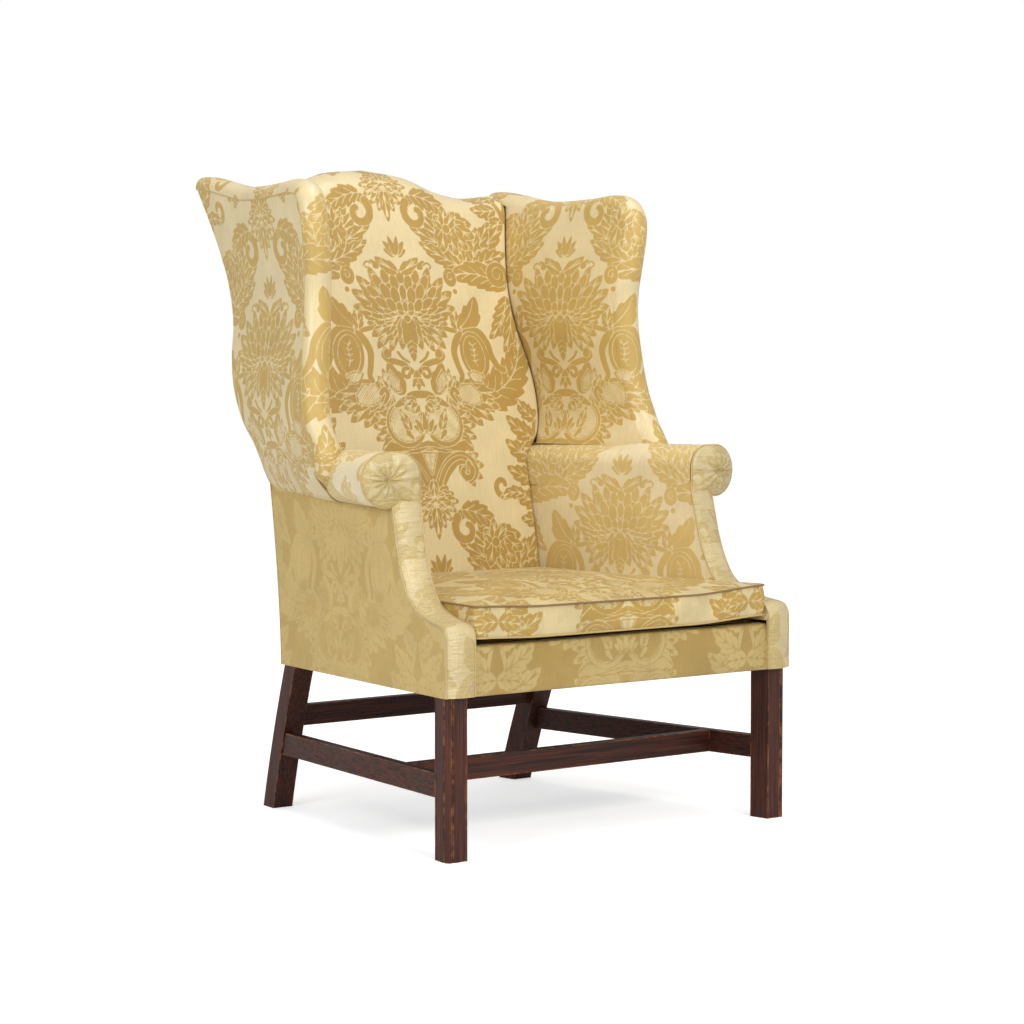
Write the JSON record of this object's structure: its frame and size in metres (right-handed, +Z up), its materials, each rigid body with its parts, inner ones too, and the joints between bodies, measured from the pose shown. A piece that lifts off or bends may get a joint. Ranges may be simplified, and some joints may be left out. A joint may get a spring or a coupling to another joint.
{
  "type": "wingback armchair",
  "caption": "High-backed upholstered armchair with serpentine crest, shaped wings, scrolled arms, a loose boxed seat cushion, and square legs joined by stretchers.",
  "frame": {"origin": "on the floor, under the middle of the chair's width and depth", "axes": "+Z up, +Y to the back of the chair, +X to the right of someone who looks at its front"},
  "size_m": [0.806, 0.7913, 1.148],
  "materials": {
    "beech": "plain unfinished beech",
    "damask": "satin silk damask, gold figure on a paler gold ground",
    "deck_cloth": "plain gold cotton sateen",
    "dust_cloth": "black linen dust cover",
    "hessian": "coarse jute hessian",
    "mahogany": "old French-polished mahogany, worn on its edges",
    "screw": "plain steel wood screw",
    "stuffing": "horsehair stuffing under calico",
    "tack": "blued iron tack",
    "webbing": "woven jute webbing"
  },
  "bodies": {
    "chair": {"arm_facing_left": "damask", "arm_facing_right": "damask", "arm_post_left": "beech", "arm_post_right": "beech", "arm_rail_left": "beech", "arm_rail_right": "beech", "arm_roll_left": "damask", "arm_roll_right": "damask", "arm_stuffing_rail_left": "beech", "arm_stuffing_rail_right": "beech", "back_hessian": "hessian", "back_stile_left": "beech", "back_stile_right": "beech", "back_webbing": "webbing", "corner_block_screws": "screw", "corner_blocks": "beech", "crest_rail": "beech", "cross_stretcher": "mahogany", "dust_cover": "dust_cloth", "dust_cover_tacks": "tack", "front_border": "damask", "front_leg_left": "mahogany", "front_leg_right": "mahogany", "front_seat_rail": "beech", "inside_arm_left": "damask", "inside_arm_right": "damask", "inside_back": "damask", "inside_wing_left": "damask", "inside_wing_right": "damask", "lower_back_rail": "beech", "outside_arm_left": "damask", "outside_arm_right": "damask", "outside_back_cover": "damask", "outside_wing_left": "damask", "outside_wing_right": "damask", "rear_leg_left": "mahogany", "rear_leg_right": "mahogany", "rear_seat_rail": "beech", "rear_stretcher": "mahogany", "seat_deck_cover": "deck_cloth", "seat_hessian": "hessian", "seat_stuffing": "stuffing", "seat_webbing_crosswise": "webbing", "seat_webbing_lengthwise": "webbing", "side_seat_rail_left": "beech", "side_seat_rail_right": "beech", "side_stretcher_left": "mahogany", "side_stretcher_right": "mahogany", "wing_post_left": "beech", "wing_post_right": "beech", "wing_rail_left": "beech", "wing_rail_right": "beech"},
    "loose_cushion": {"cushion_piping": "damask", "seat_cushion": "damask"}
  },
  "joints": [
    {"name": "cushion_lift", "type": "slide", "parent": "chair", "child": "loose_cushion", "axis": [0, 0, 1], "range_m": [0, 0.3]}
  ]
}
